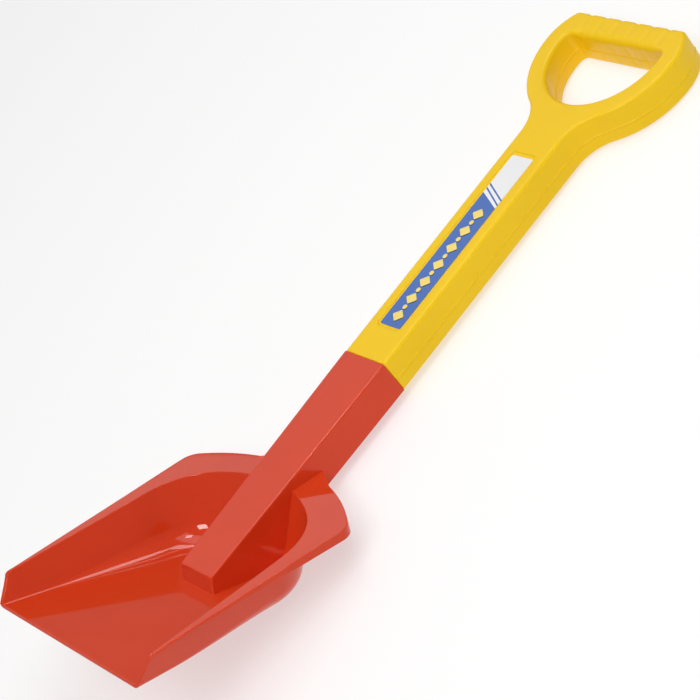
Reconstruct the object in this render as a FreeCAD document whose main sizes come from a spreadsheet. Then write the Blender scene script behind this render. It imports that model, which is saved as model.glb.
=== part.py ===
import FreeCAD, Part
import math
import os

import Sketcher

from FreeCAD import Placement, Rotation, Vector

# A child's beach spade: a wide plastic scoop whose moulded stem is a socket, and a hollow handle
# with a D-grip that plugs into it. It lies on its back: the scoop's heel and the back of the grip
# touch the ground at z = 0. +X is to the right, +Y runs from the scoop's lip to the grip, +Z is up.
#
# Two local frames are used. The scoop's: origin at the middle of the lip on the floor's top face,
# Y along the floor to the rear, Z square to the floor. The shaft's: origin at the middle of the
# socket mouth on the shaft's rear face, Y along the shaft to the grip, Z out of its front face.

SIZES = [
    ("wall", 2.4, "scoop and socket wall"),
    ("lip_half", 76.6, "half width of the floor at the lip"),
    ("floor_taper", 0.145, "how fast each floor side closes in, per mm of length"),
    ("floor_length", 151, "lip to the foot of the back wall, on the centre line"),
    ("floor_arc", 86, "radius of the back wall's foot, in plan"),
    ("floor_corner", 36, "radius of the floor's rear corners"),
    ("front_height", 17.5, "height of the side walls at the front"),
    ("front_slant", 30.0, "lean of the walls' front ends, degrees from upright"),
    ("rim_tilt", 10.8, "slope of the rim plane over the floor, degrees"),
    ("rim_half", 81, "half width of the opening at the front"),
    ("rim_taper", 0.076, "how fast the opening's sides close in, per mm of length"),
    ("rim_length", 156.5, "length of the opening in the rim plane, front to back wall"),
    ("rim_arc", 97, "radius of the opening's rear edge"),
    ("rim_corner", 50, "radius of the opening's rear corners"),
    ("flange_half", 83.0, "half width over the flange at the front"),
    ("flange_flare", 0.018, "how fast the flange's sides open out, per mm of length"),
    ("flange_length", 175.8, "length of the flange in the rim plane, front to rear"),
    ("flange_arc", 145, "radius of the flange's rear edge"),
    ("flange_corner", 12, "radius of the flange's rear corners"),
    ("flange_wall", 2.2, "thickness of the flange and of its skirt"),
    ("skirt_front", 0.8, "depth of the skirt at the front, from the flange's top"),
    ("skirt_slope", 2.3, "how fast the skirt deepens to the rear, degrees"),
    ("crease_front", 2.0, "inside radius between floor and side wall at the front"),
    ("crease_rear", 18, "inside radius between floor and back wall"),
    ("crease_start", 92, "length over which the front crease radius lasts"),
    ("stem_angle", 33.0, "angle between the shaft and the scoop's floor, degrees"),
    ("stem_start", 96.2, "lip to the stem's end face"),
    ("stem_height", 11.4, "height of the stem's end face over the floor"),
    ("stem_length", 173.2, "top edge of the stem's end face to the socket mouth"),
    ("stem_half", 17.0, "half width of the stem at its end face"),
    ("stem_edge", 1.5, "radius of the stem's long edges"),
    ("socket_depth", 144.0, "depth of the socket's bore"),
    ("shaft_width", 40.6, "width of the shaft and of the socket mouth"),
    ("shaft_depth", 26.8, "thickness of the handle and of the socket, front to rear"),
    ("handle_wall", 2.0, "wall of the hollow handle"),
    ("handle_edge", 2.8, "radius of the handle's long edges"),
    ("handle_length", 293.5, "socket mouth to the top of the grip"),
    ("ring_drop", 27, "top of the grip down to the centre of its ring"),
    ("ring_outer", 61.5, "outer radius of the grip's ring"),
    ("ring_inner", 46.8, "radius of the hand opening"),
    ("shoulder", 40.0, "radius of the grip's shoulders above the ring"),
    ("neck", 31, "radius where the shaft flares into the ring"),
    ("bar_height", 19, "height of the cross bar"),
    ("bar_corner", 4.5, "radius of the cross bar's ends, outside and in the opening"),
    ("groove_pitch", 15.1, "spacing of the finger grooves across the cross bar"),
    ("groove_radius", 6.0, "radius of each groove"),
    ("groove_depth", 0.9, "depth of each groove"),
    ("grooves", 6, "number of grooves"),
    ("seam_height", 0.45, "how far the handle's parting line stands out"),
    ("seam_width", 1.3, "width of the parting line"),
    ("seam_level", 10.8, "rear face to the parting line's middle"),
    ("spigot_length", 78.0, "length of the handle's end inside the socket"),
    ("spigot_gap", 0.15, "clearance between the spigot and the socket, each side"),
    ("bore_taper", 0.5, "how much narrower the bore and spigot get, per 100 mm and side"),
    ("recess_margin", 1.2, "bare recess around the label"),
    ("recess_depth", 0.9, "depth of the label recess"),
    ("label_width", 20.4, "width of the label"),
    ("label_length", 145.0, "length of the label"),
    ("label_start", 26.5, "socket mouth to the label"),
    ("label_corner", 1.6, "radius of the label's corners"),
    ("label_sheet", 0.25, "thickness of the label"),
]

FORWARD = 8.0          # how far the scoop's surfaces run past the lip before they are trimmed
BEYOND = 12.0          # how far a cutter runs past the faces that it opens
ACROSS = 400.0         # wider than the whole spade
NEAR = 1e-4
FINE = 0.05            # mesh step for measuring how the spade lies


class Size:
    """A number with the sheet expression that gives it."""

    def __init__(self, text, value):
        self.text = text
        self.value = value

    def _with(self, sign, other, value):
        return Size(f"({self.text} {sign} {other.text})", value)

    def __add__(self, other):
        other = plain(other)
        return self._with("+", other, self.value + other.value)

    def __sub__(self, other):
        other = plain(other)
        return self._with("-", other, self.value - other.value)

    def __mul__(self, other):
        other = plain(other)
        return self._with("*", other, self.value * other.value)

    def __truediv__(self, other):
        other = plain(other)
        return self._with("/", other, self.value / other.value)


def plain(number):
    return number if isinstance(number, Size) else Size(repr(float(number)), float(number))


class Sizes:
    """The spreadsheet of driving sizes; each alias reads as an attribute."""

    def __init__(self, doc):
        sheet = doc.addObject("Spreadsheet::Sheet", "Sizes")
        for row, (alias, value, meaning) in enumerate(SIZES, start=1):
            sheet.set(f"A{row}", meaning)
            sheet.set(f"B{row}", str(value))
            sheet.setAlias(f"B{row}", alias)
            setattr(self, alias, Size(f"Sizes.{alias}", float(value)))
        doc.recompute()


def bind(thing, **sizes):
    """Ties properties of a document object to sizes; a double underscore stands for a dot."""
    for name, size in sizes.items():
        thing.setExpression(name.replace("__", "."), plain(size).text)


def flat(x, y):
    return Vector(x, y, 0)


class Outline:
    """A closed sketch outline, drawn counterclockwise piece after piece, each joined to the last."""

    def __init__(self, sketch):
        self.sketch = sketch
        self.ends = []

    def line(self, start, end, smooth=False):
        """A straight piece; smooth makes it tangent to the piece before."""
        number = self.sketch.addGeometry(Part.LineSegment(start, end), False)
        return self._join(number, 1, 2, smooth)

    def arc(self, centre, start, end, clockwise=False, smooth=True):
        """An arc about centre between two points."""
        first, second = (end, start) if clockwise else (start, end)
        circle = Part.Circle(centre, Vector(0, 0, 1), (start - centre).Length)
        low = math.atan2(first.y - centre.y, first.x - centre.x)
        high = math.atan2(second.y - centre.y, second.x - centre.x)
        number = self.sketch.addGeometry(Part.ArcOfCircle(circle, low, high), False)
        first, last = (2, 1) if clockwise else (1, 2)
        return self._join(number, first, last, smooth)

    def _join(self, number, first, last, smooth):
        if self.ends:
            self.rule("Tangent" if smooth else "Coincident", *self.ends[-1][1], number, first)
        self.ends.append(((number, first), (number, last)))
        return number

    def close(self):
        self.rule("Coincident", *self.ends[-1][1], *self.ends[0][0])

    def rule(self, kind, *what):
        return self.sketch.addConstraint(Sketcher.Constraint(kind, *what))

    def size(self, kind, *what, to):
        to = plain(to)
        index = self.rule(kind, *what, to.value)
        self.sketch.setExpression(f"Constraints[{index}]", to.text)

    def pin(self, piece_end, x=None, y=None):
        """Sets an end point's distance from the origin along X, along Y or both."""
        if x is not None:
            self.size("DistanceX", -1, 1, *piece_end, to=x)
        if y is not None:
            self.size("DistanceY", -1, 1, *piece_end, to=y)


def check(doc):
    """Stops if any object of the document failed."""
    doc.recompute()
    for thing in doc.Objects:
        if "Invalid" in thing.State or "Error" in thing.State:
            raise RuntimeError(f"{thing.Name} failed: {thing.State}")


def scoop_outline(doc, name, half, taper, split, length, rear_radius, corner_radius):
    """Right half of a scoop outline: straight side in two pieces, rear corner and rear arc."""
    sketch = doc.addObject("Sketcher::SketchObject", name)
    outline = Outline(sketch)
    front_x = half + taper * FORWARD
    split_x = half - taper * split
    slope = taper.value
    along = flat(-slope, 1.0).normalize()
    inward = flat(-1.0, -slope).normalize()
    rear_centre = flat(0, length.value - rear_radius.value)
    # the corner's centre lies one corner radius inside the side, and inside the rear arc
    foot = flat(half.value, 0) + inward * corner_radius.value - rear_centre
    reach = rear_radius.value - corner_radius.value
    half_way = foot.dot(along)
    step = -half_way + math.sqrt(half_way ** 2 - foot.dot(foot) + reach ** 2)
    corner_centre = rear_centre + foot + along * step
    side_end = corner_centre - inward * corner_radius.value
    rear_start = rear_centre + (corner_centre - rear_centre).normalize() * rear_radius.value
    front = flat(front_x.value, -FORWARD)
    middle = flat(split_x.value, split.value)
    outline.line(flat(0, -FORWARD), front)
    outline.line(front, middle)
    outline.line(middle, side_end)
    outline.arc(corner_centre, side_end, rear_start)
    outline.arc(rear_centre, rear_start, flat(0, length.value))
    outline.line(flat(0, length.value), flat(0, -FORWARD))
    outline.close()
    outline.pin((0, 1), y=plain(-FORWARD))
    outline.rule("PointOnObject", 0, 1, -2)
    outline.pin((0, 2), x=front_x, y=plain(-FORWARD))
    outline.pin((1, 2), x=split_x, y=split)
    outline.rule("Parallel", 1, 2)
    outline.size("Radius", 3, to=corner_radius)
    outline.size("Radius", 4, to=rear_radius)
    outline.rule("PointOnObject", 4, 3, -2)
    outline.rule("PointOnObject", 4, 2, -2)
    outline.pin((4, 2), y=length)
    return sketch


def in_rim_plane(s, thing):
    """Sets a sketch into the rim plane, through the walls' front corners."""
    back = s.front_height.value * math.tan(math.radians(s.front_slant.value))
    turn = Rotation(Vector(1, 0, 0), s.rim_tilt.value)
    thing.Placement = Placement(Vector(0, back, s.front_height.value), turn)


def loft(doc, name, lower, upper):
    body = doc.addObject("Part::Loft", name)
    body.Sections = [lower, upper]
    body.Solid = True
    body.Ruled = True
    return body


def extrude(doc, name, sketch, up, down=0.0):
    body = doc.addObject("Part::Extrusion", name)
    body.Base = sketch
    body.DirMode = "Normal"
    body.Solid = True
    bind(body, LengthFwd=up, LengthRev=down)
    return body


def fuse(doc, name, *parts):
    body = doc.addObject("Part::MultiFuse", name)
    body.Shapes = list(parts)
    body.Refine = True
    return body


def cut(doc, name, base, tool, refine=True):
    body = doc.addObject("Part::Cut", name)
    body.Base = base
    body.Tool = tool
    body.Refine = refine
    return body


def common(doc, name, *parts):
    body = doc.addObject("Part::MultiCommon", name)
    body.Shapes = list(parts)
    return body


def mirror(doc, name, half):
    """The half together with its mirror image across the middle plane."""
    other = doc.addObject("Part::Mirroring", name + "_left")
    other.Source = half
    other.Normal = Vector(1, 0, 0)
    return fuse(doc, name, half, other)


def box(doc, name, low, high, placement=None):
    body = doc.addObject("Part::Box", name)
    body.Length = high[0] - low[0]
    body.Width = high[1] - low[1]
    body.Height = high[2] - low[2]
    body.Placement = (placement or Placement()) * Placement(Vector(*low), Rotation())
    return body


def round_crease(doc, name, block, floor_level, small, large):
    """Rounds the edge between floor and walls: small at the front, growing to large at the rear."""
    doc.recompute()
    edges = []
    for number, edge in enumerate(block.Shape.Edges, start=1):
        bounds = edge.BoundBox
        on_floor = abs(bounds.ZMin - floor_level) < NEAR and abs(bounds.ZMax - floor_level) < NEAR
        if not on_floor or bounds.XMax < NEAR or bounds.YMax < -FORWARD + NEAR:
            continue
        starts = edge.firstVertex(True).Point.y < edge.lastVertex(True).Point.y
        straight = isinstance(edge.Curve, Part.Line) or edge.Curve.TypeId == "Part::GeomLine"
        if not straight:
            edges.append((number, large, large))
        elif bounds.YMin < 0:
            edges.append((number, small, small))
        else:
            edges.append((number, small, large) if starts else (number, large, small))
    body = doc.addObject("Part::Fillet", name)
    body.Base = block
    body.Edges = edges
    return body


def tub(doc, s, name, grow, floor_level):
    """One half of the scoop's bowl as a solid, its faces moved out by grow, then mirrored."""
    floor = scoop_outline(
        doc, name + "_floor", s.lip_half + grow, s.floor_taper, s.crease_start,
        s.floor_length + grow, s.floor_arc + grow, s.floor_corner + grow)
    floor.Placement.Base.z = floor_level
    rim = scoop_outline(
        doc, name + "_rim", s.rim_half + grow, s.rim_taper, s.crease_start,
        s.rim_length + grow, s.rim_arc + grow, s.rim_corner + grow)
    in_rim_plane(s, rim)
    block = loft(doc, name + "_block", floor, rim)
    small = s.crease_front.value + plain(grow).value
    large = s.crease_rear.value + plain(grow).value
    rounded = round_crease(doc, name + "_rounded", block, floor_level, small, large)
    return rounded, rim


def flange_outline(doc, s, name, inset):
    outline = scoop_outline(
        doc, name, s.flange_half - inset, plain(0) - s.flange_flare, s.crease_start,
        s.flange_length - inset, s.flange_arc - inset, s.flange_corner - inset)
    in_rim_plane(s, outline)
    return outline


def taper_box(doc, name, y, half, low, high):
    """A box along Y whose width and faces change evenly; each argument is a (start, end) pair."""
    wedge = doc.addObject("Part::Wedge", name)
    bind(wedge, Ymin=y[0], Ymax=y[1])
    bind(wedge, Xmin=plain(0) - half[0], Xmax=half[0], X2min=plain(0) - half[1], X2max=half[1])
    bind(wedge, Zmin=low[0], Zmax=high[0], Z2min=low[1], Z2max=high[1])
    return wedge


def round_edges(doc, name, body, radius, wanted):
    """Fillets the edges that the test picks."""
    doc.recompute()
    chosen = [number for number, edge in enumerate(body.Shape.Edges, start=1) if wanted(edge)]
    rounded = doc.addObject("Part::Fillet", name)
    rounded.Base = body
    rounded.Edges = [(number, radius.value, radius.value) for number in chosen]
    return rounded


def runs_along_y(edge):
    """True for an edge that runs the length of a taper box."""
    bounds = edge.BoundBox
    return bounds.YLength > bounds.XLength and bounds.YLength > bounds.ZLength


def shaft_in_scoop(s):
    """Places the shaft's frame in the scoop's frame."""
    turn = Rotation(Vector(1, 0, 0), s.stem_angle.value)
    end_top = Vector(0, s.stem_start.value, s.stem_height.value)
    mouth = Vector(0, s.stem_length.value, -s.shaft_depth.value)
    return Placement(end_top + turn.multVec(mouth), turn)


def stem_box(doc, s, name, low):
    """The stem's outer box, run on past its end face, from the level low to the front face."""
    narrowing = (s.shaft_width / 2 - s.stem_half) / s.stem_length
    run_on = s.shaft_depth * 2
    body = taper_box(
        doc, name, (plain(0) - s.stem_length - run_on, plain(0)),
        (s.stem_half - narrowing * run_on, s.shaft_width / 2),
        (low, low), (s.shaft_depth, s.shaft_depth))
    rounded = round_edges(doc, name + "_rounded", body, s.stem_edge, runs_along_y)
    rounded.Placement = shaft_in_scoop(s)
    return rounded


def bore(doc, s, name, deep, wall, beyond):
    """A tapered opening down the shaft from its mouth, wall thick from the shaft's faces."""
    taper = s.bore_taper / 100
    start = plain(0) - deep
    half = s.shaft_width / 2 - wall
    top = s.shaft_depth - wall
    return taper_box(
        doc, name, (start, plain(beyond)),
        (half - taper * deep, half + taper * beyond),
        (wall + taper * deep, wall - taper * beyond),
        (top - taper * deep, top + taper * beyond))


def make_blade(doc, s):
    """The scoop with its rim flange, skirt and stem, moulded in one piece."""
    floor_under = -s.wall.value
    outer_half, outer_rim = tub(doc, s, "bowl", s.wall, floor_under)
    bowl = mirror(doc, "bowl_whole", outer_half)
    inner_half, inner_rim = tub(doc, s, "hollow", plain(0), 0.0)
    riser = extrude(doc, "hollow_riser", inner_rim, BEYOND)
    hollow = fuse(doc, "hollow_whole", mirror(doc, "hollow_lower", inner_half),
                  mirror(doc, "hollow_upper", riser))

    flange_sketch = flange_outline(doc, s, "flange_outline", plain(0))
    flange = mirror(doc, "flange", extrude(doc, "flange_half", flange_sketch, 0.0, s.flange_wall))
    skirt_depth = s.flange_wall * 8
    skirt_outer = extrude(doc, "skirt_outer", flange_sketch, 0.0, skirt_depth)
    skirt_sketch = flange_outline(doc, s, "skirt_inner_outline", s.flange_wall)
    skirt_inner = extrude(doc, "skirt_inner", skirt_sketch, plain(BEYOND), skirt_depth + BEYOND)
    skirt_ring = cut(doc, "skirt_ring", skirt_outer, skirt_inner)
    rim_frame = Placement(skirt_outer.Base.Placement)
    slope = Placement(Vector(0, 0, -s.skirt_front.value),
                      Rotation(Vector(1, 0, 0), -s.skirt_slope.value))
    below = box(doc, "below_skirt", (-ACROSS, -ACROSS, -ACROSS), (ACROSS, ACROSS, 0),
                rim_frame * slope)
    skirt = mirror(doc, "skirt", cut(doc, "skirt_half", skirt_ring, below))

    shell = cut(doc, "shell", fuse(doc, "shell_block", bowl, flange, skirt), hollow)

    behind_end = box(doc, "behind_stem_end", (-ACROSS, s.stem_start.value, floor_under),
                     (ACROSS, ACROSS * 2, ACROSS))
    stem = common(doc, "stem", stem_box(doc, s, "stem_box", plain(0)), behind_end)
    foot_box = stem_box(doc, s, "foot_box", plain(0) - s.shaft_depth)
    foot = common(doc, "stem_foot", foot_box, bowl, behind_end)

    socket = bore(doc, s, "socket_bore", s.socket_depth, s.wall, BEYOND)
    socket.Placement = shaft_in_scoop(s)

    before_lip = box(doc, "before_lip", (-ACROSS, -ACROSS, -ACROSS), (ACROSS, 0, ACROSS))
    slant = Placement(Vector(0, 0, 0), Rotation(Vector(1, 0, 0), -s.front_slant.value))
    before_walls = box(doc, "before_walls", (-ACROSS, -ACROSS, 0), (ACROSS, 0, ACROSS), slant)
    trim = fuse(doc, "front_trim", before_lip, before_walls)

    solid = fuse(doc, "blade_solid", shell, stem, foot)
    bored = cut(doc, "blade_bored", solid, socket, refine=False)
    blade = cut(doc, "blade", bored, trim, refine=False)
    blade.Label = "scoop_blade"
    return blade


def grip_outline(doc, s, name, inset):
    """Right half of the handle's outline, its faces moved in by inset."""
    sketch = doc.addObject("Sketcher::SketchObject", name)
    outline = Outline(sketch)
    half = s.shaft_width / 2 - inset
    top = s.handle_length - inset
    centre_y = s.handle_length - s.ring_drop
    outer = s.ring_outer - inset
    inner = s.ring_inner + inset
    neck = s.neck + inset
    shoulder = s.shoulder - inset
    bar = s.handle_length - s.bar_height + inset

    ring_centre = flat(0, centre_y.value)
    neck_x = half.value + neck.value
    neck_drop = math.sqrt((outer.value + neck.value) ** 2 - neck_x ** 2)
    neck_centre = flat(neck_x, centre_y.value - neck_drop)
    ring_start = ring_centre + (neck_centre - ring_centre).normalize() * outer.value
    ring_end = flat(outer.value, centre_y.value)
    shoulder_centre = flat(outer.value - shoulder.value, centre_y.value)
    rise = top.value - centre_y.value
    shoulder_end = shoulder_centre + flat(math.sqrt(shoulder.value ** 2 - rise ** 2), rise)
    bar_rise = bar.value - centre_y.value
    bar_end = ring_centre + flat(math.sqrt(inner.value ** 2 - bar_rise ** 2), bar_rise)
    opening_foot = flat(0, centre_y.value - inner.value)
    mouth = flat(0, inset.value)

    outline.line(mouth, flat(half.value, inset.value))
    outline.line(flat(half.value, inset.value), flat(half.value, neck_centre.y))
    outline.arc(neck_centre, flat(half.value, neck_centre.y), ring_start, clockwise=True)
    outline.arc(ring_centre, ring_start, ring_end)
    outline.arc(shoulder_centre, ring_end, shoulder_end)
    outline.line(shoulder_end, flat(0, top.value))
    outline.line(flat(0, top.value), flat(0, bar.value))
    outline.line(flat(0, bar.value), bar_end)
    outline.arc(ring_centre, bar_end, opening_foot, clockwise=True, smooth=False)
    outline.line(opening_foot, mouth)
    outline.close()

    outline.rule("PointOnObject", 0, 1, -2)
    outline.pin((0, 1), y=inset)
    outline.pin((0, 2), x=half, y=inset)
    outline.rule("Vertical", 1)
    outline.size("Radius", 2, to=neck)
    outline.rule("PointOnObject", 3, 3, -2)
    outline.pin((3, 3), y=centre_y)
    outline.size("Radius", 3, to=outer)
    outline.rule("Horizontal", 3, 3, 4, 3)
    outline.size("Radius", 4, to=shoulder)
    outline.rule("Horizontal", 5)
    outline.rule("PointOnObject", 5, 2, -2)
    outline.pin((5, 2), y=top)
    outline.rule("PointOnObject", 6, 2, -2)
    outline.pin((6, 2), y=bar)
    outline.rule("Horizontal", 7)
    outline.rule("Coincident", 8, 3, 3, 3)
    outline.size("Radius", 8, to=inner)
    outline.rule("PointOnObject", 8, 1, -2)
    return sketch


def grip_body(doc, s, name, inset, low, thick, edge):
    """The handle's outline as a body from the level low, with rounded edges where edge is given."""
    sketch = grip_outline(doc, s, name + "_outline", inset)
    half = extrude(doc, name + "_half", sketch, thick)
    bind(half, Placement__Base__z=low)
    top = s.handle_length.value - inset.value
    bar = s.handle_length.value - s.bar_height.value + inset.value

    def upright_at(level):
        def wanted(edge):
            bounds = edge.BoundBox
            upright = bounds.ZLength > NEAR and bounds.XLength < NEAR and bounds.YLength < NEAR
            return upright and abs(bounds.YMin - level) < NEAR and bounds.XMin > NEAR
        return wanted

    outside = round_edges(doc, name + "_shoulders", half, s.bar_corner - inset, upright_at(top))
    inside = round_edges(doc, name + "_opening", outside, s.bar_corner + inset, upright_at(bar))
    whole = mirror(doc, name + "_whole", inside)
    if edge is None:
        return whole
    faces = (low.value, low.value + thick.value)

    def on_a_face(edge):
        bounds = edge.BoundBox
        at_mouth = bounds.YMax < inset.value + NEAR
        return bounds.ZLength < NEAR and not at_mouth and any(abs(bounds.ZMin - z) < NEAR for z in faces)

    return round_edges(doc, name + "_rounded", whole, edge, on_a_face)


def label_plate(doc, s, name, margin, low, thick):
    """A flat plate of the label's outline, grown by margin, from the level low."""
    plate = doc.addObject("Part::Box", name)
    bind(plate, Length=s.label_width + margin * 2, Width=s.label_length + margin * 2, Height=thick)
    bind(plate, Placement__Base__x=plain(0) - s.label_width / 2 - margin)
    bind(plate, Placement__Base__y=s.label_start - margin, Placement__Base__z=low)

    def upright(edge):
        return edge.BoundBox.ZLength > NEAR

    return round_edges(doc, name + "_rounded", plate, s.label_corner + margin, upright)


def make_handle(doc, s):
    """The hollow handle: shaft, D-grip and the open spigot that fills the socket's mouth."""
    zero = plain(0)
    skin = grip_body(doc, s, "grip", zero, zero, s.shaft_depth, s.handle_edge)
    spigot_wall = s.wall + s.spigot_gap
    spigot = bore(doc, s, "spigot", s.spigot_length, spigot_wall, 0)
    spigot = round_edges(doc, "spigot_rounded", spigot, s.stem_edge, runs_along_y)
    seam = grip_body(doc, s, "seam", zero - s.seam_height, s.seam_level - s.seam_width / 2,
                     s.seam_width, None)
    mouth_side = box(doc, "seam_end", (-ACROSS, -ACROSS, -ACROSS), (ACROSS, 0, ACROSS))
    seam = cut(doc, "seam_line", seam, mouth_side)
    outside = fuse(doc, "handle_outside", skin, spigot, seam)

    core = grip_body(doc, s, "core", s.handle_wall, s.handle_wall,
                     s.shaft_depth - s.handle_wall * 2, s.handle_edge - s.handle_wall)
    open_end = bore(doc, s, "spigot_core", s.spigot_length + BEYOND, spigot_wall + s.handle_wall,
                    s.handle_wall * 2)
    inside = fuse(doc, "handle_inside", core, open_end)

    recess = label_plate(doc, s, "recess", s.recess_margin, s.shaft_depth - s.recess_depth,
                         plain(BEYOND))
    handle = cut(doc, "handle_hollow", outside, inside)
    handle = cut(doc, "handle_recessed", handle, recess)
    handle = cut(doc, "handle", handle, finger_grooves(doc, s))
    handle.Label = "grip_handle"
    return handle


def finger_grooves(doc, s):
    """Rods that cut the shallow grooves over the front and the top of the cross bar."""
    rods = []
    count = int(s.grooves.value)
    for number in range(count):
        x = s.groove_pitch * (number - (count - 1) / 2)
        over_front = doc.addObject("Part::Cylinder", f"groove_front_{number + 1}")
        over_front.Placement.Rotation = Rotation(Vector(1, 0, 0), -90)
        bind(over_front, Radius=s.groove_radius, Height=s.bar_height + BEYOND,
             Placement__Base__x=x, Placement__Base__y=s.handle_length - s.bar_height,
             Placement__Base__z=s.shaft_depth + s.groove_radius - s.groove_depth)
        over_top = doc.addObject("Part::Cylinder", f"groove_top_{number + 1}")
        bind(over_top, Radius=s.groove_radius, Height=s.shaft_depth / 2 + BEYOND,
             Placement__Base__x=x,
             Placement__Base__y=s.handle_length + s.groove_radius - s.groove_depth,
             Placement__Base__z=s.shaft_depth / 2)
        rods += [over_front, over_top]
    return fuse(doc, "finger_grooves", *rods)


def make_label(doc, s):
    """The printed label, flat on the recess's floor."""
    label = label_plate(doc, s, "label_sheet", plain(0), s.shaft_depth - s.recess_depth,
                        s.label_sheet)
    label.Label = "front_label"
    return label


def rest_on_ground(s, blade, handle):
    """Places the shaft's frame so that the heel and the back of the grip both touch z = 0."""
    to_shaft = shaft_in_scoop(s).inverse()
    blade_points = [to_shaft.multVec(point) for point in blade.Shape.tessellate(FINE)[0]]
    handle_points = handle.Shape.tessellate(FINE)[0]

    def turned(points, tilt):
        turn = Rotation(Vector(1, 0, 0), tilt)
        return [turn.multVec(point) for point in points]

    def lowest(points, tilt):
        return min(point.z for point in turned(points, tilt))

    # a larger tilt lifts the grip over the heel
    low, high = -10.0, 10.0
    while high - low > NEAR:
        tilt = (low + high) / 2
        if lowest(handle_points, tilt) > lowest(blade_points, tilt):
            high = tilt
        else:
            low = tilt
    tilt = (low + high) / 2
    ends = [point.y for point in turned(blade_points + handle_points, tilt)]
    rise = -lowest(handle_points, tilt)
    return Placement(Vector(0, -(min(ends) + max(ends)) / 2, rise),
                     Rotation(Vector(1, 0, 0), tilt))


def main():
    doc = FreeCAD.newDocument("beach_spade")
    s = Sizes(doc)
    blade = make_blade(doc, s)
    handle = make_handle(doc, s)
    label = make_label(doc, s)
    check(doc)
    shaft = rest_on_ground(s, blade, handle)
    blade.Placement = shaft * shaft_in_scoop(s).inverse()
    handle.Placement = shaft
    label.Placement = shaft * label.Placement
    doc.recompute()
    os.makedirs("parts", exist_ok=True)
    for piece in (blade, handle, label):
        shape = piece.Shape
        if shape.isNull() or not shape.isValid() or len(shape.Solids) != 1:
            raise RuntimeError(f"{piece.Label} is not one valid solid")
        shape.exportStep(os.path.join("parts", piece.Label + ".step"))


main()
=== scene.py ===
import math

import bmesh
import bpy
import numpy as np
from mathutils import Matrix, Vector
from mathutils.geometry import delaunay_2d_cdt


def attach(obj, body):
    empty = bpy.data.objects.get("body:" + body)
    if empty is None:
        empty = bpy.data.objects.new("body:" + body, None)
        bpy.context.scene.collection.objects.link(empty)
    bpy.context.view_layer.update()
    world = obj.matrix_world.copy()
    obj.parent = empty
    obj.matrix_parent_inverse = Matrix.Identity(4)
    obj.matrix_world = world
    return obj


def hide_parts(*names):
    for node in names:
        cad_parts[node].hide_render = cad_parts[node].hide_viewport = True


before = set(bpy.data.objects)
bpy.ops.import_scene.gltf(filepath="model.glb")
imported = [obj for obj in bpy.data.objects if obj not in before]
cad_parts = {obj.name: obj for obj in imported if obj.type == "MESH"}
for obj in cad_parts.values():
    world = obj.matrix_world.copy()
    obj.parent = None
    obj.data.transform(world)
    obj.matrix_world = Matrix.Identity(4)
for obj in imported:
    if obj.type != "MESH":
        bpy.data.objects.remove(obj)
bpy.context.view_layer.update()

# Lengths below are in millimetres, in one of two frames. The shaft's: origin at the middle of the
# socket mouth on the shaft's rear face, Y along the shaft to the grip, Z out of its front face.
# The scoop's: origin at the middle of the lip on the floor, Y to the rear, Z square to the floor.
SHAFT = Matrix.Translation((0, -17.25736, 7.246217)) @ Matrix.Rotation(math.radians(-1.42834), 4, "X")
SCOOP = Matrix.Translation((0, -275.529815, 83.341146)) @ Matrix.Rotation(math.radians(-34.42834), 4, "X")
TO_METRES = Matrix.Scale(0.001, 4)

WALL = 2.4
FAR = 60                # guide points this far off give a fillet its two directions
DEPTH = 26.8            # thickness of the shaft and of the handle
FRONT_LEAN = math.tan(math.radians(30.0))
FRONT_HEIGHT = 17.5
RIM = (Matrix.Translation((0, FRONT_HEIGHT * FRONT_LEAN, FRONT_HEIGHT))
       @ Matrix.Rotation(math.radians(10.8), 4, "X"))


# ---------------------------------------------------------------- mesh helpers
def new_object(name, verts, faces, place, mats):
    mesh = bpy.data.meshes.new(name)
    whole = TO_METRES @ place
    mesh.from_pydata([whole @ Vector(v) for v in verts], [], faces)
    for mat in mats:
        mesh.materials.append(mat)
    bm = bmesh.new()
    bm.from_mesh(mesh)
    bmesh.ops.remove_doubles(bm, verts=bm.verts, dist=2e-6)
    bmesh.ops.dissolve_degenerate(bm, dist=1e-6, edges=bm.edges)
    bmesh.ops.recalc_face_normals(bm, faces=bm.faces)
    bm.to_mesh(mesh)
    bm.free()
    thing = bpy.data.objects.new(name, mesh)
    bpy.context.scene.collection.objects.link(thing)
    return thing


def fillet(before, corner, after, radius, steps):
    """Points of the arc that rounds a corner between its two neighbours."""
    first, last = before - corner, after - corner
    shortest = min(first.length, last.length)
    if shortest < 1e-4:
        return [corner.copy() for _ in range(steps + 1)]
    first, last = first.normalized(), last.normalized()
    half = max(first.angle(last) / 2, 1e-3)
    reach = min(radius / math.tan(half), 0.49 * shortest)
    weight = math.sin(half)
    points = []
    for step in range(steps + 1):
        t = step / steps
        a, b, c = (1 - t) ** 2, 2 * t * (1 - t) * weight, t * t
        total = a * (corner + first * reach) + b * corner + c * (corner + last * reach)
        points.append(total / (a + b + c))
    return points


def between(start, end, count):
    """Evenly spaced points strictly between two points."""
    return [start.lerp(end, (i + 1) / (count + 1)) for i in range(count)]


def inside(loop, points):
    """Which 2D points lie inside a closed loop."""
    loop, points = np.array(loop, float), np.array(points, float)
    x, y = points[:, 0], points[:, 1]
    found = np.zeros(len(points), bool)
    for (x0, y0), (x1, y1) in zip(loop, np.roll(loop, -1, axis=0)):
        crosses = (y0 > y) != (y1 > y)
        if crosses.any():
            at = (x1 - x0) * (y - y0) / (y1 - y0 if y1 != y0 else 1e-12) + x0
            found ^= crosses & (x < at)
    return found


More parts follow.
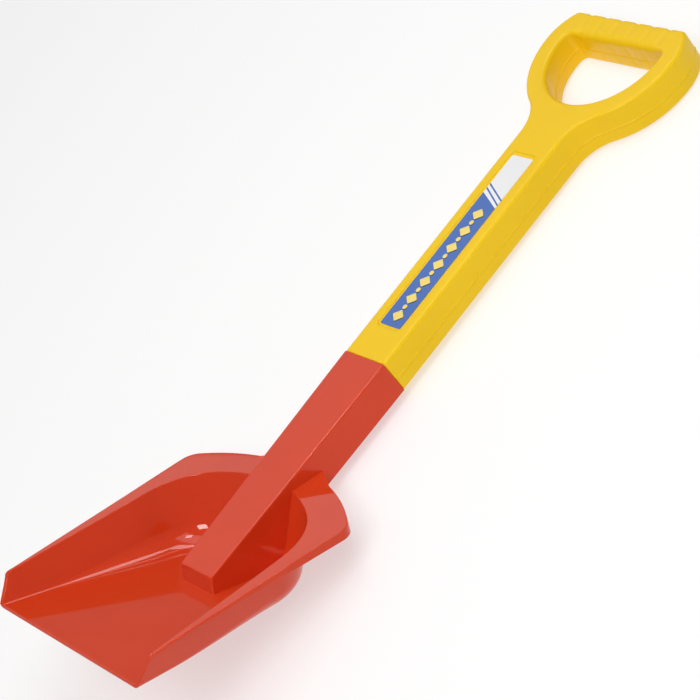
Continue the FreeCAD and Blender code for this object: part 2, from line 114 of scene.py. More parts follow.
def fill(loops, extra=()):
    """Triangles between an outer loop and its holes, also over extra points.

    Indices count through the loops and then the extra points.
    """
    flat = [Vector(p) for loop in loops for p in loop] + [Vector(p) for p in extra]
    edges, start = [], 0
    for loop in loops:
        edges += [(start + i, start + (i + 1) % len(loop)) for i in range(len(loop))]
        start += len(loop)
    verts, _, faces, ids, _, _ = delaunay_2d_cdt(flat, edges, [], 0, 1e-5)
    centres = [sum((verts[i] for i in f), Vector((0, 0))) / len(f) for f in faces]
    keep = inside(loops[0], centres)
    for hole in loops[1:]:
        keep &= ~inside(hole, centres)
    nearest = [i[0] if i else min(range(len(flat)), key=lambda k: (flat[k] - v).length_squared)
               for i, v in zip(ids, verts)]
    made = [[nearest[i] for i in f] for f, wanted in zip(faces, keep) if wanted]
    return [f for f in made if len(set(f)) == len(f)]


# ---------------------------------------------------------------- the scoop's shell
STRAIGHT_FROM, STRAIGHT_TO = -8, 92     # the sides' straight stretch, which the front cuts off
CREASE_FRONT, CREASE_GROWTH = 2, 16     # radius between floor and wall, and what it gains to the rear
FRONT_ROUND = 0.75
UNDER_FLANGE = -26                      # the section's point where flange, skirt and wall run together


def outline(half, taper, length, rear, corner):
    """Right half of a scoop outline by a parameter from 0 at the front to 4 at the rear middle."""
    along = Vector((-taper, 1)).normalized()
    inward = Vector((-1, -taper)).normalized()
    rear_centre = Vector((0, length - rear))
    foot = Vector((half, 0)) + inward * corner - rear_centre
    reach = rear - corner
    half_way = foot.dot(along)
    step = -half_way + math.sqrt(half_way ** 2 - foot.dot(foot) + reach ** 2)
    centre = rear_centre + foot + along * step
    side_end = centre - inward * corner
    out = (centre - rear_centre).normalized()
    start, turn = math.atan2(-inward.y, -inward.x), math.atan2(out.y, out.x)

    def at(u):
        if u <= 1:
            y = STRAIGHT_FROM + (STRAIGHT_TO - STRAIGHT_FROM) * u
            return Vector((half - taper * y, y))
        if u <= 2:
            return Vector((half - taper * STRAIGHT_TO, STRAIGHT_TO)).lerp(side_end, u - 1)
        if u <= 3:
            angle = start + (turn - start) * (u - 2)
            return centre + corner * Vector((math.cos(angle), math.sin(angle)))
        angle = turn + (math.pi / 2 - turn) * (u - 3)
        return rear_centre + rear * Vector((math.cos(angle), math.sin(angle)))

    return at


FLOOR_IN = outline(76.6, 0.145, 151, 86, 36)
FLOOR_OUT = outline(76.6 + WALL, 0.145, 151 + WALL, 86 + WALL, 36 + WALL)
RIM_IN = outline(81, 0.076, 156.5, 97, 50)
RIM_OUT = outline(81 + WALL, 0.076, 156.5 + WALL, 97 + WALL, 50 + WALL)
FLANGE = outline(82.99, -0.018, 175.8, 145, 12)
SKIRT_IN = outline(80.8, -0.018, 173.6, 142.8, 9.8)
SKIRT_FALL = math.tan(math.radians(2.3))
FLANGE_WALL = 2.2


def on_rim(flat, level=0.0):
    return RIM @ Vector((flat.x, flat.y, level))


def section(u):
    """The wall's section at one place round the scoop, floor top to floor underside."""
    floor = FLOOR_IN(u).to_3d()
    ahead, behind = FLOOR_IN(min(u + 0.01, 4)), FLOOR_IN(max(u - 0.01, 0))
    tangent = (ahead - behind).normalized()
    inward = Vector((-tangent.y, tangent.x, 0)) if u < 4 else Vector((0, -1, 0))
    under = FLOOR_OUT(u).to_3d() - Vector((0, 0, WALL))
    crease = CREASE_FRONT + CREASE_GROWTH * smooth_step(25, 122, floor.y)
    rim_out = RIM_OUT(u)
    edge, skirt = FLANGE(u), SKIRT_IN(u)
    outer_top = on_rim(rim_out)
    wall_line = outer_top - under
    down = RIM.to_3x3() @ Vector((0, 0, 1))
    meet = outer_top - wall_line * (FLANGE_WALL / wall_line.dot(down))
    if u <= 1 and edge.x < rim_out.x:
        edge = Vector((rim_out.x, edge.y))
    depth = max(FLANGE_WALL, 0.8 + edge.y * SKIRT_FALL)
    skirt_depth = max(FLANGE_WALL, 0.8 + skirt.y * SKIRT_FALL)
    inner_foot, inner_top = on_rim(skirt, -skirt_depth), on_rim(skirt, -FLANGE_WALL)
    if u <= 1 and inner_top.x < meet.x:
        inner_foot, inner_top = meet.copy(), meet.copy()
    corners = [
        (floor + inward * FAR, 0, 0, 0),
        (floor, crease, 16, 0),
        (on_rim(RIM_IN(u)), 0.8, 4, 8),
        (on_rim(edge), 0.8, 4, 3),
        (on_rim(edge, -depth), 0.5, 3, 1),
        (inner_foot, 0.5, 3, 0),
        (inner_top, 0.5, 3, 1),
        (meet, 0.6, 3, 2),
        (under, crease + WALL, 16, 7),
        (under + inward * FAR, 0, 0, 0),
    ]
    points = []
    for number in range(1, len(corners) - 1):
        corner, radius, steps, rows = corners[number]
        arc = fillet(corners[number - 1][0], corner, corners[number + 1][0], radius, steps)
        if points:
            points += between(points[-1], arc[0], rows)
        points += arc
    return points


def front_of(point):
    """How far back the walls' slanted front lies at this height, with its upper corner rounded."""
    height = max(point.z, 0)
    drop = max(0.0, 3.0 - (FRONT_HEIGHT - height)) if height < FRONT_HEIGHT else 3.0
    round_off = 3.0 - math.sqrt(max(9.0 - drop * drop, 0.0))
    return height * FRONT_LEAN + 0.45 * round_off


def shell(mats):
    count = len(section(0.5))

    def front_parameter(k):
        low, high = 0.0, 0.5
        for _ in range(22):
            middle = (low + high) / 2
            point = section(middle)[k]
            if point.y < front_of(point):
                low = middle
            else:
                high = middle
        return (low + high) / 2

    fronts = [front_parameter(k) for k in range(count)]
    steps = [0.012, 0.03, 0.06, 0.1] + [0.1 + 0.9 * (i + 1) / 22 for i in range(22)]
    first = [section(fronts[k])[k] for k in range(count)]
    surface = []
    for step in steps:
        surface.append([section(f + (1 - f) * step)[k] for k, f in enumerate(fronts)])
    for start, number in ((1, 24), (2, 36), (3, 24)):
        surface += [section(start + (i + 1) / number) for i in range(number)]

    meeting = first[UNDER_FLANGE]
    radii = [FRONT_ROUND * smooth_step(0.4, 5.0, (p - meeting).length) for p in first]
    backs = [(b - a).normalized() for a, b in zip(first, surface[0])]
    normals = []
    for k in range(count):
        along = first[min(k + 1, count - 1)] - first[max(k - 1, 0)]
        if along.length < 1e-6:
            along = first[min(k + 3, count - 1)] - first[max(k - 3, 0)]
        normals.append(along.cross(backs[k]).normalized())
    if normals[0].z < 0:
        normals = [-n for n in normals]
    rings = []
    for turn in (90, 68, 45, 22, 0):
        angle = math.radians(turn)
        inset, set_back = 1 - math.cos(angle), 1 - math.sin(angle)
        rings.append([p + (b * set_back - n * inset) * r
                      for p, b, n, r in zip(first, backs, normals, radii)])
    rounding = len(rings)
    rings += surface

    verts = []
    right, left = [], []
    for ring in rings:
        right.append(list(range(len(verts), len(verts) + count)))
        verts += ring
        left.append(list(range(len(verts), len(verts) + count)))
        verts += [Vector((-p.x, p.y, p.z)) for p in ring]
    faces = []
    for s in range(len(rings) - 1):
        for half in (right, left):
            for k in range(count - 1):
                faces.append((half[s][k], half[s + 1][k], half[s + 1][k + 1], half[s][k + 1]))
    for s in range(rounding - 1):
        for k in (0, count - 1):
            faces.append((right[s][k], right[s + 1][k], left[s + 1][k], left[s][k]))
    for k in (0, count - 1):
        faces.append([right[s][k] for s in range(rounding - 1, len(rings))]
                     + [left[s][k] for s in range(len(rings) - 2, rounding - 2, -1)])
    rim = right[0] + left[0][::-1]
    for face in fill([[(verts[i].x, verts[i].z) for i in rim]]):
        faces.append([rim[i] for i in face])
    return new_object("blade_shell", verts, faces, SCOOP, mats)


# ---------------------------------------------------------------- the stem
STEM_ANGLE = math.radians(33.0)
STEM_END = Vector((96.2, 11.4))
STEM_LENGTH = 173.2
BURIED = -0.9           # the stem's foot ends inside the scoop's floor


def shaft_to_scoop(y, z):
    """A point of the shaft's middle plane in the scoop's middle plane."""
    run, rise = y + STEM_LENGTH, z - DEPTH
    c, s = math.cos(STEM_ANGLE), math.sin(STEM_ANGLE)
    return Vector((STEM_END.x + run * c - rise * s, STEM_END.y + run * s + rise * c))


def stem_half(point):
    """Half width of the stem at a point of the scoop's middle plane."""
    run = (point - STEM_END).dot(Vector((math.cos(STEM_ANGLE), math.sin(STEM_ANGLE))))
    return 17.0 + 3.3 * run / STEM_LENGTH


def stem(mats):
    wall_way = Vector((12.8, 46.8)).normalized()
    foot = Vector((151.3, BURIED))
    crease = fillet(foot - Vector((FAR, 0)), foot, foot + wall_way * FAR, 18, 8)
    corners = [
        (shaft_to_scoop(0, DEPTH), 0.9, 4),
        (Vector(STEM_END), 1.3, 4),
        (Vector((96.2, BURIED)), 0.0, 0),
        *[(p, 0.0, 0) for p in crease],
        (shaft_to_scoop(-117.5, 0.0), 0.0, 0),
        (shaft_to_scoop(0, 0), 0.5, 3),
    ]
    return prism("blade_stem", corners, 1.5, stem_half, SCOOP, mats)


def prism(name, corners, edge, half_of, place, mats):
    """A body with a side profile, a half width that varies over it and rounded long edges."""
    count = len(corners)

    def profile(inset):
        moved = []
        for i in range(count):
            a, b, c = corners[i - 1][0], corners[i][0], corners[(i + 1) % count][0]
            one, two = (b - a).normalized(), (c - b).normalized()
            n1, n2 = Vector((-one.y, one.x)), Vector((-two.y, two.x))
            bend = n1 + n2
            moved.append(b + bend * (inset / max(bend.dot(n1), 0.2)))
        points = []
        for i in range(count):
            radius, steps = corners[i][1], corners[i][2]
            if steps:
                points += fillet(moved[i - 1], moved[i], moved[(i + 1) % count],
                                 max(radius - inset, 0.05), steps)
            else:
                points.append(moved[i])
        return points

    verts, loops = [], []
    plain = profile(0.0)
    for turn in (90, 68, 45, 22, 0):
        angle = math.radians(turn)
        inset = edge * (1 - math.cos(angle))
        ring = profile(inset)
        loops.append((len(verts), len(ring)))
        for p, base in zip(ring, plain):
            verts.append(Vector((half_of(base) - edge * (1 - math.sin(angle)), p.x, p.y)))
    total = len(verts)
    verts += [Vector((-v.x, v.y, v.z)) for v in verts]
    faces = []
    size = loops[0][1]
    for side in (0, total):
        for ring in range(len(loops) - 1):
            a, b = side + loops[ring][0], side + loops[ring + 1][0]
            for k in range(size):
                n = (k + 1) % size
                faces.append((a + k, a + n, b + n, b + k))
        faces.append([side + loops[0][0] + k for k in range(size)])
    a, b = loops[-1][0], total + loops[-1][0]
    for k in range(size):
        n = (k + 1) % size
        faces.append((a + k, a + n, b + n, b + k))
    return new_object(name, verts, faces, place, mats)


def hull(name, points, place, mats):
    """The convex hull of a few points."""
    bm = bmesh.new()
    for p in points:
        bm.verts.new(TO_METRES @ place @ Vector(p))
    found = bmesh.ops.convex_hull(bm, input=bm.verts)
    loose = [v for v in bm.verts if not v.link_faces]
    bmesh.ops.delete(bm, geom=loose, context="VERTS")
    mesh = bpy.data.meshes.new(name)
    bmesh.ops.recalc_face_normals(bm, faces=bm.faces)
    bm.to_mesh(mesh)
    bm.free()
    for mat in mats:
        mesh.materials.append(mat)
    thing = bpy.data.objects.new(name, mesh)
    bpy.context.scene.collection.objects.link(thing)
    return thing


def webs(mats):
    """Small gussets that carry the flange back along the stem's sides."""
    low = RIM.to_3x3() @ Vector((0, 0, -FLANGE_WALL))
    made = []
    for side in (1, -1):
        top = [Vector((19.4, 161.5, 45.75)), Vector((18.9, 186.6, 51.75)), Vector((36.2, 178.2, 49.55)),
               Vector((16.0, 186.2, 51.9)), Vector((16.0, 163.0, 46.6))]
        points = top + [p + low for p in top]
        points = [(p.x * side, p.y, p.z) for p in points]
        made.append(hull("blade_web", points, SCOOP, mats))
    return made


def tapered_bar(name, start, end, mats):
    """A bar along the shaft between two stations of (y, half width, low, high)."""
    verts = []
    for y, half, low, high in (start, end):
        verts += [Vector((half, y, low)), Vector((half, y, high)),
                  Vector((-half, y, high)), Vector((-half, y, low))]
    faces = [(k, (k + 1) % 4, 4 + (k + 1) % 4, 4 + k) for k in range(4)]
    faces += [(0, 1, 2, 3), (4, 5, 6, 7)]
    return new_object(name, verts, faces, SHAFT, mats)


def combine(base, tool, operation):
    """Applies an exact boolean to base and removes the tool."""
    change = base.modifiers.new("change", "BOOLEAN")
    change.operation = operation
    change.solver = "EXACT"
    change.object = tool
    bpy.context.view_layer.update()
    depsgraph = bpy.context.evaluated_depsgraph_get()
    made = bpy.data.meshes.new_from_object(base.evaluated_get(depsgraph))
    base.modifiers.clear()
    old = base.data
    base.data = made
    bpy.data.meshes.remove(old)
    bpy.data.objects.remove(tool)


def finish_shading(thing, sharp=32):
    """Smooth faces with weighted normals; edges that turn more than sharp degrees stay crisp."""
    bm = bmesh.new()
    bm.from_mesh(thing.data)
    bmesh.ops.remove_doubles(bm, verts=bm.verts, dist=5e-6)
    bmesh.ops.dissolve_degenerate(bm, dist=5e-6, edges=bm.edges)
    bmesh.ops.holes_fill(bm, edges=[e for e in bm.edges if e.is_boundary], sides=0)
    for face in bm.faces:
        face.smooth = True
    for edge in bm.edges:
        edge.smooth = not (edge.is_manifold and edge.calc_face_angle() > math.radians(sharp))
    bm.to_mesh(thing.data)
    bm.free()
    weighted = thing.modifiers.new("weighted", "WEIGHTED_NORMAL")
    weighted.keep_sharp = True
    weighted.weight = 60


# ---------------------------------------------------------------- the handle
HALF = 20.3
TOP = 293.5
RING_Y = 266.5
BAR_FOOT = 274.5
EDGE = 2.8
MOUTH = 0.9
GROOVES, GROOVE_PITCH, GROOVE_HALF, GROOVE_DEPTH = 6, 15.1, 3.4, 0.5
RECESS_DEPTH, FILM = 0.9, 0.25


def arc(cx, cy, radius, start, end, steps, out=1):
    """Points of an arc with their outward normals; out is -1 where the material lies outside it."""
    made = []
    for i in range(steps + 1):
        angle = math.radians(start + (end - start) * i / steps)
        way = Vector((math.cos(angle), math.sin(angle)))
        made.append((Vector((cx, cy)) + way * radius, way * out))
    return made


def straight(start, end, normal, steps):
    start, end = Vector(start), Vector(end)
    return [(start.lerp(end, i / steps), Vector(normal)) for i in range(steps + 1)]


def mirrored(chain):
    """The chain carried on to its mirror image across the middle plane."""
    other = [(Vector((-p.x, p.y)), Vector((-n.x, n.y))) for p, n in chain[-2::-1]]
    return chain + other


def tidy(chain):
    kept = [chain[0]]
    for item in chain[1:]:
        if (item[0] - kept[-1][0]).length > 1e-4:
            kept.append(item)
    return kept


def outer_chain():
    right = straight((HALF, MOUTH), (HALF, 189.53), (1, 0), 34)
    right += arc(51.3, 189.53, 31, 180, 123.68, 16, out=-1)
    right += arc(0, RING_Y, 61.5, -56.32, 0, 26)
    right += arc(21.5, RING_Y, 40, 0, 39.33, 14)
    right += arc(48.96, 289.0, 4.5, 39.33, 90, 8)
    right += straight((48.96, TOP), (0, TOP), (0, 1), 84)
    return mirrored(tidy(right))


def opening_chain():
    right = arc(0, RING_Y, 46.8, -90, 4.75, 44, out=-1)
    right += arc(42.15, 270.0, 4.5, 4.75, 90, 8, out=-1)
    right += straight((42.15, BAR_FOOT), (0, BAR_FOOT), (0, -1), 72)
    return mirrored(tidy(right))[:-1]


def recess_chain():
    half, low, high, r = 12.0, 24.9, 174.0, 3.2
    chain = arc(half - r, low + r, r, -90, 0, 6, out=-1)
    chain += arc(half - r, high - r, r, 0, 90, 6, out=-1)
    chain += arc(-half + r, high - r, r, 90, 180, 6, out=-1)
    chain += arc(-half + r, low + r, r, 180, 270, 6, out=-1)
    return chain


def smooth_step(low, high, value):
    t = min(max((value - low) / (high - low), 0.0), 1.0)
    return t * t * (3 - 2 * t)


def groove(x):
    """Depth of the finger grooves across the bar."""
    total = 0.0
    for number in range(GROOVES):
        away = abs(x - GROOVE_PITCH * (number - (GROOVES - 1) / 2)) / GROOVE_HALF
        if away < 1:
            total += GROOVE_DEPTH * (1 - away * away) ** 1.5
    return total


def with_grooves(p):
    """Sinks a point of the bar's front, top or underside by the grooves' depth."""
    depth = groove(p.x)
    if depth == 0 or p.y < 268:
        return p
    if abs(p.y - BAR_FOOT) < 0.6 and abs(p.x) < 41:
        fade = smooth_step(2, 6, p.z) * smooth_step(25, 20, p.z)
        return p + Vector((0, 0.8 * depth * fade, 0))
    front = 0.6 * smooth_step(19.0, 25.0, p.z) * smooth_step(274.0, 278.5, p.y)
    top = smooth_step(288.0, 292.5, p.y) * smooth_step(9.0, 17.0, p.z)
    return p - Vector((0, depth * top, depth * front))


SEAM = ((9.4, 0), (10.05, 0), (10.35, 0.3), (10.8, 0.45), (11.25, 0.3), (11.55, 0), (12.2, 0))


def handle(mats):
    outer, opening, recess = outer_chain(), opening_chain(), recess_chain()
    verts, faces = [], []

    def front_edge(point):
        """Radius of the long edge here; wider where the fingers close round the bar."""
        if abs(point.y - BAR_FOOT) < 0.01:
            return EDGE + 2.6 * smooth_step(0, 10, 42.15 - abs(point.x))
        return EDGE

    def rings_of(chain):
        """Index rows of a wall, front face edge to back face edge."""
        rows = []
        for turn in (90, 75, 60, 45, 30, 15, 0):
            angle = math.radians(turn)
            row = []
            for p, n in chain:
                r = front_edge(p)
                inset = r * (1 - math.cos(angle))
                row.append(Vector((*(p - n * inset), DEPTH - r * (1 - math.sin(angle)))))
            rows.append(row)
        for z in (19.0, 16.5, 14.2):
            rows.append([Vector((*p, z)) for p, n in chain])
        for z, out in reversed(SEAM):
            rows.append([Vector((*(p + n * out), z)) for p, n in chain])
        for z in (7.0, 4.8):
            rows.append([Vector((*p, z)) for p, n in chain])
        for turn in (0, 18, 36, 54, 72, 90):
            angle = math.radians(turn)
            inset, z = EDGE * (1 - math.cos(angle)), EDGE * (1 - math.sin(angle))
            rows.append([Vector((*(p - n * inset), z)) for p, n in chain])
        indexed = []
        for row in rows:
            indexed.append(list(range(len(verts), len(verts) + len(row))))
            verts.extend(row)
        return indexed

    def strips(rows, closed):
        size = len(rows[0])
        for a, b in zip(rows, rows[1:]):
            for k in range(size if closed else size - 1):
                n = (k + 1) % size
                faces.append((a[k], a[n], b[n], b[k]))

    wall = rings_of(outer)
    strips(wall, False)
    hole = rings_of(opening)
    strips(hole, True)

    # the recess round the label
    steps = []
    for inset, drop in ((-0.9, 0), (-0.5, 0.06), (-0.2, 0.25), (0, 0.6), (0.2, 0.84), (0.5, RECESS_DEPTH)):
        row = list(range(len(verts), len(verts) + len(recess)))
        verts.extend(Vector((*(p - n * -inset), DEPTH - drop)) for p, n in recess)
        steps.append(row)
    strips(steps, True)
    faces.append(list(steps[-1]))

    # the front and back faces, with a dense grid under the grooves
    grid = []
    for i in range(111):
        x = -44 + i * 0.8
        for y in (281.5, 283.0, 284.6, 286.2, 287.8, 289.2):
            grid.append((x, y))
    for i in range(20):
        for x in (-14.5, 14.5):
            grid.append((x, 20 + i * 8.5))
    for rows, extra, front in ((wall[0], grid, True), (wall[-1], [], False)):
        loops = [rows, hole[0] if front else hole[-1]]
        if front:
            loops.append(steps[0])
        ids = [i for loop in loops for i in loop] + list(range(len(verts), len(verts) + len(extra)))
        level = DEPTH if front else 0.0
        flat = [[(verts[i].x, verts[i].y) for i in loop] for loop in loops]
        verts.extend(Vector((x, y, level)) for x, y in extra)
        faces.extend([ids[i] for i in face] for face in fill(flat, extra))

    # the mouth: a rounded end round the spigot's root
    ends = [row[0] for row in wall] + [row[-1] for row in wall[::-1]]
    ways = [ways_of(row, wall) for row in range(len(wall))]
    ways += [Vector((-w.x, w.y)) for w in ways[::-1]]
    last = ends
    for turn in (30, 60, 90):
        angle = math.radians(turn)
        inset, level = MOUTH * (1 - math.cos(angle)), MOUTH * (1 - math.sin(angle))
        row = list(range(len(verts), len(verts) + len(ends)))
        for i, w in zip(ends, ways):
            p = verts[i]
            verts.append(Vector((p.x - w.x * inset, level, p.z - w.y * inset)))
        for k in range(len(ends)):
            n = (k + 1) % len(ends)
            faces.append((last[k], last[n], row[n], row[k]))
        last = row
    root = []
    for y, half, low, high in ((0, 17.75, 2.55, 24.25), (-76.8, 17.36, 2.94, 23.86),
                               (-78, 16.2, 4.1, 22.7)):
        corner = [Vector((half, low)), Vector((half, high)), Vector((-half, high)), Vector((-half, low))]
        ring = []
        for i in range(4):
            ring += fillet(corner[i - 1], corner[i], corner[(i + 1) % 4], 1.5, 4)
        root.append(list(range(len(verts), len(verts) + len(ring))))
        verts.extend(Vector((p.x, y, p.y)) for p in ring)
    strips(root, True)
    faces.append(list(root[-1]))
    ids = last + root[0]
    flat = [[(verts[i].x, verts[i].z) for i in last], [(verts[i].x, verts[i].z) for i in root[0]]]
    faces.extend([ids[i] for i in face] for face in fill(flat))

    verts = [with_grooves(v) for v in verts]
    return new_object("grip_shell", verts, faces, SHAFT, mats)


def ways_of(row, wall):
    """The outward way, across and up, of one row of the right side wall at the mouth."""
    turns = [90, 75, 60, 45, 30, 15, 0]
    if row < len(turns):
        angle = math.radians(turns[row])
        return Vector((math.cos(angle), math.sin(angle)))
    back = [0, 18, 36, 54, 72, 90]
    from_end = row - (len(wall) - len(back))
    if from_end >= 0:
        angle = math.radians(back[from_end])
        return Vector((math.cos(angle), -math.sin(angle)))
    return Vector((1, 0))


# ---------------------------------------------------------------- materials
def material(name, colour, roughness):
    mat = bpy.data.materials.new(name)
    mat.use_nodes = True
    shader = mat.node_tree.nodes["Principled BSDF"]
    shader.inputs["Base Color"].default_value = (*colour, 1)
    shader.inputs["Roughness"].default_value = roughness
    return mat


def noise(nodes, links, place, scale, detail):
    texture = nodes.new("ShaderNodeTexNoise")
    texture.inputs["Scale"].default_value = scale
    texture.inputs["Detail"].default_value = detail
    links.new(place, texture.inputs["Vector"])
    return texture.outputs["Fac"]


def ranged(nodes, links, value, low, high):
    """Maps a noise value onto a range."""
    scale = nodes.new("ShaderNodeMapRange")
    scale.inputs["From Min"].default_value = 0.3
    scale.inputs["From Max"].default_value = 0.7
    scale.inputs["To Min"].default_value = low
    scale.inputs["To Max"].default_value = high
    links.new(value, scale.inputs["Value"])
    return scale.outputs["Result"]


def plastic(name, dark, light, rough, grain, relief, flow, specular=0.5):
    """Moulded plastic: cloudy pigment, uneven gloss, a fine surface grain and slow flow waves."""
    mat = material(name, dark, rough[0])
    nodes, links = mat.node_tree.nodes, mat.node_tree.links
    shader = nodes["Principled BSDF"]
    shader.inputs["Specular IOR Level"].default_value = specular
    place = nodes.new("ShaderNodeTexCoord").outputs["Object"]
    mix = nodes.new("ShaderNodeMix")
    mix.data_type = "RGBA"
    mix.inputs["A"].default_value = (*dark, 1)
    mix.inputs["B"].default_value = (*light, 1)
    links.new(ranged(nodes, links, noise(nodes, links, place, 14.0, 3.0), 0.0, 1.0), mix.inputs["Factor"])
    links.new(mix.outputs["Result"], shader.inputs["Base Color"])
    uneven = noise(nodes, links, place, 60.0, 4.0)
    links.new(ranged(nodes, links, uneven, rough[0], rough[1]), shader.inputs["Roughness"])
    fine = nodes.new("ShaderNodeBump")
    fine.inputs["Strength"].default_value = relief
    fine.inputs["Distance"].default_value = 0.0002
    links.new(noise(nodes, links, place, grain, 3.0), fine.inputs["Height"])
    slow = nodes.new("ShaderNodeBump")
    slow.inputs["Strength"].default_value = flow
    slow.inputs["Distance"].default_value = 0.002
    links.new(noise(nodes, links, place, 22.0, 1.0), slow.inputs["Height"])
    links.new(fine.outputs["Normal"], slow.inputs["Normal"])
    links.new(slow.outputs["Normal"], shader.inputs["Normal"])
    return mat


def print_ink(name, dark, light):
    return plastic(name, dark, light, (0.16, 0.26), 2200.0, 0.05, 0.02)


red = plastic("red_gloss", (0.65, 0.046, 0.010), (0.69, 0.054, 0.013), (0.035, 0.075),
              900.0, 0.03, 0.004, specular=0.27)
yellow = plastic("yellow_satin", (0.90, 0.570, 0.004), (0.93, 0.600, 0.007), (0.30, 0.40),
                 1400.0, 0.16, 0.03, specular=0.2)
blue = print_ink("label_blue", (0.030, 0.120, 0.44), (0.036, 0.132, 0.47))
white = print_ink("label_white", (0.84, 0.84, 0.85), (0.88, 0.88, 0.88))
shape_yellow = print_ink("label_yellow", (0.90, 0.68, 0.13), (0.94, 0.72, 0.16))
shade = print_ink("label_shade", (0.012, 0.013, 0.016), (0.018, 0.019, 0.022))


# ---------------------------------------------------------------- the label
LABEL_WIDTH, LABEL_LENGTH, LABEL_START = 20.4, 145.0, 26.5


def blob(x, v, along, across, round_to, steps=7):
    """A rounded bar or dot of the label's print."""
    points = []
    for cx, cy, start in ((1, 1, 0), (-1, 1, 90), (-1, -1, 180), (1, -1, 270)):
        for i in range(steps + 1):
            angle = math.radians(start + 90 * i / steps)
            points.append(Vector((x + cx * (across / 2 - round_to) + round_to * math.cos(angle),
                                  v + cy * (along / 2 - round_to) + round_to * math.sin(angle))))
    return points


def diamond(x, v, along, across):
    """A diamond with softened points."""
    tips = [Vector((x + across, v)), Vector((x, v + along)),
            Vector((x - across, v)), Vector((x, v - along))]
    points = []
    for i in range(4):
        points += fillet(tips[i - 1], tips[i], tips[(i + 1) % 4], 0.7, 3)
    return points


def label(mats):
    """The printed film: a row of plain diamonds and dots on blue, two stripes and a bare white end."""
    half = LABEL_WIDTH / 2
    rim = blob(0, LABEL_LENGTH / 2, LABEL_LENGTH, LABEL_WIDTH, 1.6, 5)
    slopes = [(112.3, 102.7), (115.4, 104.7), (116.7, 106.0), (119.0, 108.8), (120.3, 110.1)]

    def line(number, x):
        left, right = slopes[number]
        return left + (right - left) * (x + half) / LABEL_WIDTH

    shapes = []
    for number in range(13):
        v = 9.0 + number * 7.2
        if number % 2:
            shapes.append(blob(0, v, 3.6, 3.6, 1.75))
        else:
            shapes.append(diamond(0, v, 4.6, 5.4))
    shadows = [[p + Vector((0.9, -0.6)) for p in shape] for shape in shapes]
    flat = list(rim)
    edges = [(i, (i + 1) % len(rim)) for i in range(len(rim))]
    for loop in shapes + shadows:
        start = len(flat)
        flat += loop
        edges += [(start + i, start + (i + 1) % len(loop)) for i in range(len(loop))]
    for number in range(len(slopes)):
        start = len(flat)
        flat += [Vector((x, line(number, x))) for x in (-half - 1, half + 1)]
        edges.append((start, start + 1))
    verts, _, faces, _, _, _ = delaunay_2d_cdt(flat, edges, [], 0, 1e-5)
    centres = [sum((verts[i] for i in f), Vector((0, 0))) / len(f) for f in faces]
    keep = inside(rim, centres)
    lit = sum(inside(shape, centres).astype(int) for shape in shapes)
    dark = sum(inside(shape, centres).astype(int) for shape in shadows)
    bm = bmesh.new()
    level = DEPTH - RECESS_DEPTH + FILM
    whole = TO_METRES @ SHAFT
    made = [bm.verts.new(whole @ Vector((v.x, LABEL_START + v.y, level))) for v in verts]
    for number, face in enumerate(faces):
        if not keep[number]:
            continue
        c = centres[number]
        side = sum(c.y > line(i, c.x) for i in range(len(slopes)))
        index = 0 if side in (0, 2, 4) else 1
        if side == 0 and lit[number]:
            index = 2
        elif side == 0 and dark[number]:
            index = 3
        bm.faces.new([made[i] for i in face]).material_index = index
    bmesh.ops.delete(bm, geom=[v for v in bm.verts if not v.link_faces], context="VERTS")
    down = (SHAFT.to_3x3() @ Vector((0, 0, -FILM))) * 0.001
    printed = list(bm.faces)
    edge_faces = [(*e.verts, e.link_faces[0].material_index) for e in bm.edges if e.is_boundary]
    below = {v: bm.verts.new(v.co + down) for v in list(bm.verts)}
    for face in printed:
        under = bm.faces.new([below[v] for v in reversed(face.verts)])
        under.material_index = face.material_index
    for a, b, index in edge_faces:
        bm.faces.new((a, b, below[b], below[a])).material_index = index
    bmesh.ops.recalc_face_normals(bm, faces=bm.faces)
    mesh = bpy.data.meshes.new("label_film")
    bm.to_mesh(mesh)
    bm.free()
    for mat in mats:
        mesh.materials.append(mat)
    thing = bpy.data.objects.new("label_film", mesh)
    bpy.context.scene.collection.objects.link(thing)
    return thing


blade = shell([red])
for tool in [stem([red]), *webs([red])]:
    combine(blade, tool, "UNION")
bore = tapered_bar("blade_bore", (-144, 17.18, 3.12, 23.68), (12, 17.96, 2.34, 24.46), [red])
combine(blade, bore, "DIFFERENCE")
blade.name = "scoop_moulding"
finish_shading(blade)
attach(blade, "root")
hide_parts("scoop_blade")

grip = handle([yellow])
grip.name = "grip_moulding"
finish_shading(grip)
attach(grip, "root")
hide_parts("grip_handle")

film = label([blue, white, shape_yellow, shade])
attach(film, "root")
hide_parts("front_label")

# ---------------------------------------------------------------- camera
RIGHT = Vector((0.60096, 0.58852, -0.54082))
UP = Vector((-0.2254, 0.77396, 0.59177))
FORWARD = Vector((-0.76684, 0.23373, -0.59777))
camera_data = bpy.data.cameras.new("camera")
camera_data.lens = 132.2515
camera_data.sensor_width = 36.0
camera = bpy.data.objects.new("camera", camera_data)
bpy.context.scene.collection.objects.link(camera)
turn = Matrix((RIGHT, UP, -FORWARD)).transposed().to_4x4()
camera.matrix_world = Matrix.Translation((1.24271, -0.39914, 1.01517)) @ turn
camera_data.clip_start = 0.05
camera_data.clip_end = 20
bpy.context.scene.camera = camera

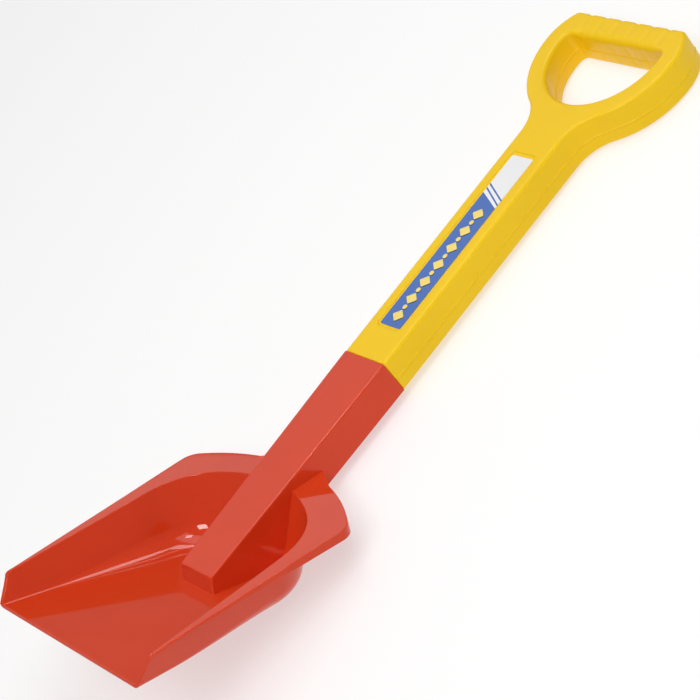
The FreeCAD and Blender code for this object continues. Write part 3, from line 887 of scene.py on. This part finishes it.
# ---------------------------------------------------------------- studio
mesh = bpy.data.meshes.new("floor")
bm = bmesh.new()
bmesh.ops.create_grid(bm, x_segments=1, y_segments=1, size=4)
bm.to_mesh(mesh)
bm.free()
floor = bpy.data.objects.new("floor", mesh)
bpy.context.scene.collection.objects.link(floor)
paper = material("floor_white", (0.45, 0.45, 0.45), 0.9)
paper.node_tree.nodes["Principled BSDF"].inputs["Emission Color"].default_value = (1, 1, 1, 1)
paper.node_tree.nodes["Principled BSDF"].inputs["Emission Strength"].default_value = 0.54
mesh.materials.append(paper)

world = bpy.data.worlds.new("studio")
world.use_nodes = True
world.node_tree.nodes["Background"].inputs["Color"].default_value = (1, 1, 1, 1)
world.node_tree.nodes["Background"].inputs["Strength"].default_value = 0.34
bpy.context.scene.world = world


def lamp(name, place, aim, width, height, power):
    data = bpy.data.lights.new(name, "AREA")
    data.shape = "RECTANGLE"
    data.size, data.size_y = width, height
    data.energy = power
    light = bpy.data.objects.new(name, data)
    bpy.context.scene.collection.objects.link(light)
    light.location = place
    light.rotation_mode = "QUATERNION"
    light.rotation_quaternion = (Vector(aim) - Vector(place)).to_track_quat("-Z", "Y")
    return light


def along(x, y, z, distance):
    return Vector((-0.03, -0.12, 0.02)) + Vector((x, y, z)).normalized() * distance


CENTRE = (-0.03, -0.12, 0.02)
lamp("bank", (0.25, 0.38, 1.4), (0.25, 0.38, 0), 1.5, 0.75, 9.0)
front = lamp("front", along(0.42, -0.30, 0.85, 1.8), CENTRE, 0.9, 0.9, 12.0)
front.visible_glossy = False
gloss_only = [
    lamp("key", along(0.40, -0.45, 0.80, 1.4), CENTRE, 0.40, 0.40, 10.5),
    lamp("edge", along(0.35, 0.234, 0.90, 1.4), CENTRE, 0.22, 0.22, 2.2),
    lamp("rear", along(-0.2, 0.68, 0.70, 1.4), CENTRE, 0.6, 0.3, 4.0),
    lamp("veil", along(-0.77, 0.23, 0.60, 1.6), CENTRE, 1.6, 1.2, 5.0),
]
for light in gloss_only:
    light.visible_diffuse = False

bpy.context.scene.view_settings.view_transform = "Standard"
